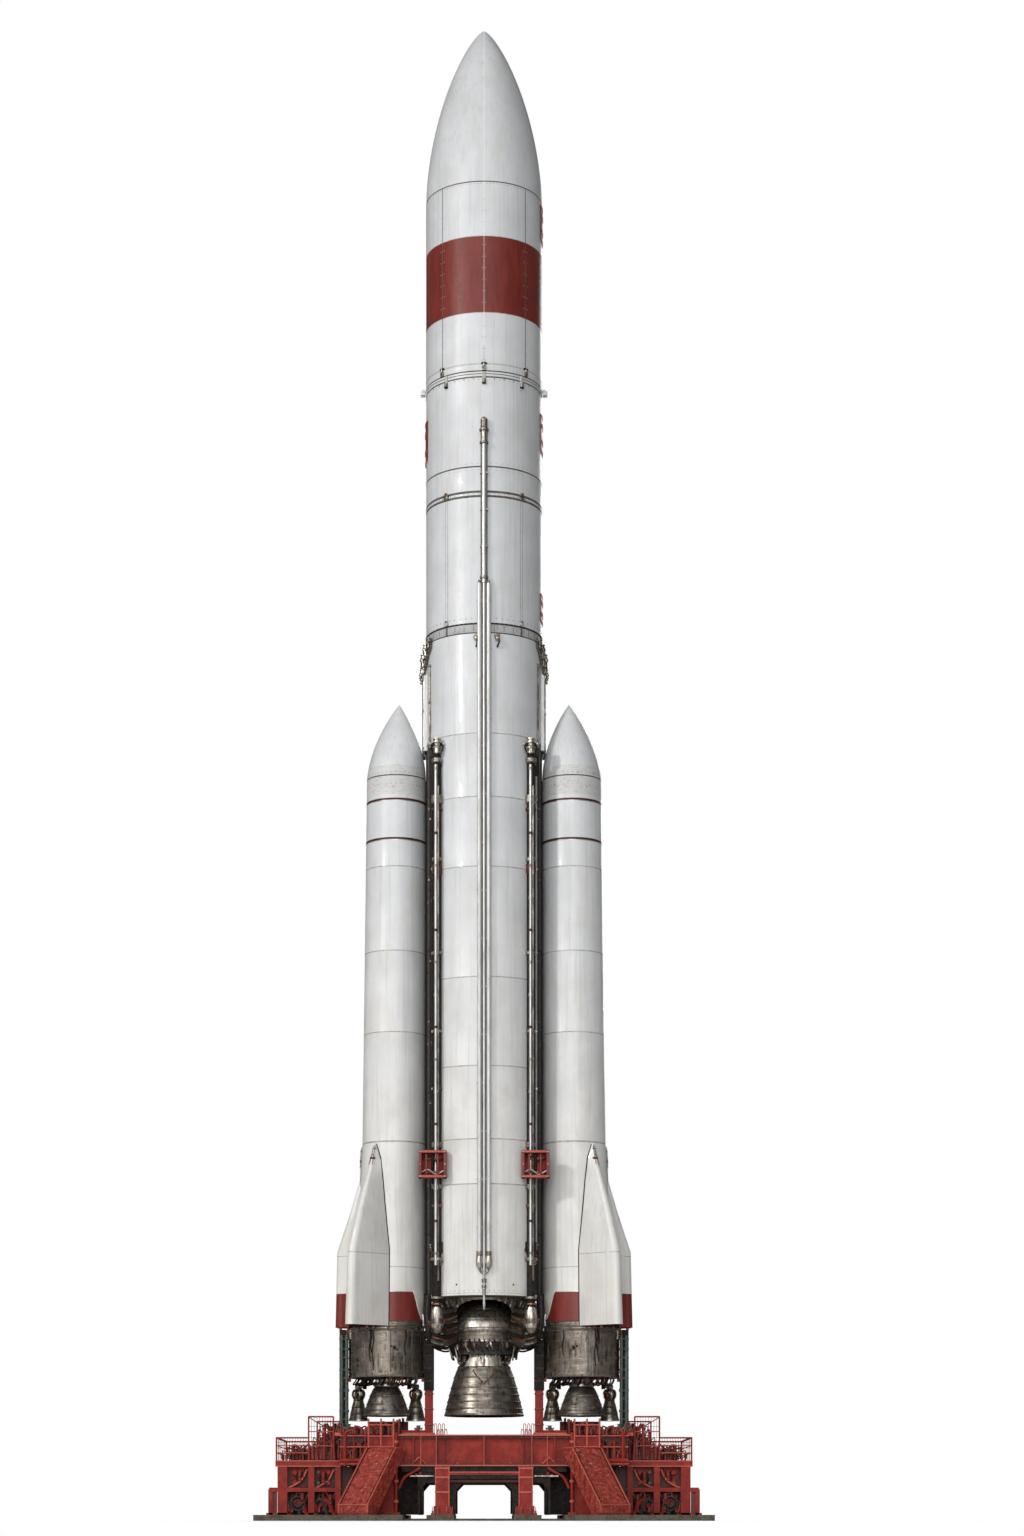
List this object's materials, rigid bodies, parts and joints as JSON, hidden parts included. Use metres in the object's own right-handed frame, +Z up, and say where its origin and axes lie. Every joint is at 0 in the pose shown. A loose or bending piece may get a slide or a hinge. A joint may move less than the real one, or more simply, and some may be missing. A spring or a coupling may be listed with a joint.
{
  "type": "space rocket on its launch table, 1:2 scale model",
  "caption": "Three-part space rocket, a core with two strap-on boosters, on its steel launch table; nose fairing opens and engines swivel.",
  "frame": {"origin": "centre of the footprint, on the floor under the foundation pads", "axes": "+Z up along the core's axis, front of the rocket towards -Y, +X to the right seen from the front"},
  "size_m": [8.5, 6.5, 28.9983],
  "materials": {
    "white_paint": "satin white paint on aluminium skin",
    "grey_alloy": "bare ring forgings, dull",
    "scorched_steel": "heat-stained engine steel",
    "pipe_steel": "worn pipe steel",
    "red_oxide_paint": "red oxide paint on structural steel",
    "concrete": "cast grey pads"
  },
  "bodies": {
    "rocket": {"upper_stage": "white_paint", "core_stage": "white_paint", "booster_left_nose": "white_paint", "booster_left_tank": "white_paint", "booster_left_tail": "white_paint", "booster_right_nose": "white_paint", "booster_right_tank": "white_paint", "booster_right_tail": "white_paint", "fairing_base_ring": "grey_alloy", "payload_adapter": "grey_alloy", "stage_junction_ring": "grey_alloy", "booster_left_skirt": "grey_alloy", "service_cabinet_left": "grey_alloy", "booster_right_skirt": "grey_alloy", "service_cabinet_right": "grey_alloy", "thrust_cone": "scorched_steel", "core_powerhead": "scorched_steel", "booster_left_nozzle": "scorched_steel", "booster_right_nozzle": "scorched_steel", "cable_raceway_upper": "pipe_steel", "cable_raceway_lower": "pipe_steel", "side_conduit_left": "pipe_steel", "feed_line_left_front": "pipe_steel", "feed_line_left_rear": "pipe_steel", "side_conduit_right": "pipe_steel", "feed_line_right_front": "pipe_steel", "feed_line_right_rear": "pipe_steel", "attach_bracket_left_front": "red_oxide_paint", "attach_bracket_left_rear": "red_oxide_paint", "table_cross_girder_left": "red_oxide_paint", "table_end_frame_left": "red_oxide_paint", "hold_down_deck_left": "red_oxide_paint", "side_platform_left": "red_oxide_paint", "sloped_strut_left_front": "red_oxide_paint", "sloped_strut_left_rear": "red_oxide_paint", "attach_bracket_right_front": "red_oxide_paint", "attach_bracket_right_rear": "red_oxide_paint", "table_cross_girder_right": "red_oxide_paint", "table_end_frame_right": "red_oxide_paint", "hold_down_deck_right": "red_oxide_paint", "side_platform_right": "red_oxide_paint", "sloped_strut_right_front": "red_oxide_paint", "sloped_strut_right_rear": "red_oxide_paint", "table_girder_front": "red_oxide_paint", "table_leg_frame_front": "red_oxide_paint", "table_girder_rear": "red_oxide_paint", "table_leg_frame_rear": "red_oxide_paint", "foundation_pads": "concrete"},
    "left_fairing_half": {"fairing_left": "white_paint"},
    "right_fairing_half": {"fairing_right": "white_paint"},
    "gimbal": {"gimbal_ring": "grey_alloy"},
    "core_engine": {"core_nozzle": "scorched_steel", "engine_manifold": "pipe_steel"},
    "left_inner_vernier": {"booster_left_inner_vernier": "scorched_steel"},
    "left_outer_vernier": {"booster_left_outer_vernier": "scorched_steel"},
    "right_inner_vernier": {"booster_right_inner_vernier": "scorched_steel"},
    "right_outer_vernier": {"booster_right_outer_vernier": "scorched_steel"}
  },
  "joints": [
    {"name": "left_fairing_hinge", "type": "hinge", "parent": "rocket", "child": "left_fairing_half", "pos_m": [-1.2, 0, 21.955], "axis": [0, -1, 0], "range_deg": [0, 50]},
    {"name": "right_fairing_hinge", "type": "hinge", "parent": "rocket", "child": "right_fairing_half", "pos_m": [1.2, 0, 21.955], "axis": [0, 1, 0], "range_deg": [0, 50]},
    {"name": "core_engine_pitch", "type": "hinge", "parent": "rocket", "child": "gimbal", "pos_m": [0, 0, 3.32], "axis": [1, 0, 0], "range_deg": [-6, 6]},
    {"name": "core_engine_yaw", "type": "hinge", "parent": "gimbal", "child": "core_engine", "pos_m": [0, 0, 3.32], "axis": [0, 1, 0], "range_deg": [-6, 6]},
    {"name": "left_inner_vernier_swivel", "type": "hinge", "parent": "rocket", "child": "left_inner_vernier", "pos_m": [-1.34, 0.36, 2.62], "axis": [0.8412, 0.5408, 0], "range_deg": [-20, 20]},
    {"name": "left_outer_vernier_swivel", "type": "hinge", "parent": "rocket", "child": "left_outer_vernier", "pos_m": [-2.46, 0.36, 2.62], "axis": [-0.8412, 0.5408, 0], "range_deg": [-20, 20]},
    {"name": "right_inner_vernier_swivel", "type": "hinge", "parent": "rocket", "child": "right_inner_vernier", "pos_m": [1.34, 0.36, 2.62], "axis": [-0.8412, 0.5408, 0], "range_deg": [-20, 20]},
    {"name": "right_outer_vernier_swivel", "type": "hinge", "parent": "rocket", "child": "right_outer_vernier", "pos_m": [2.46, 0.36, 2.62], "axis": [0.8412, 0.5408, 0], "range_deg": [-20, 20]}
  ]
}
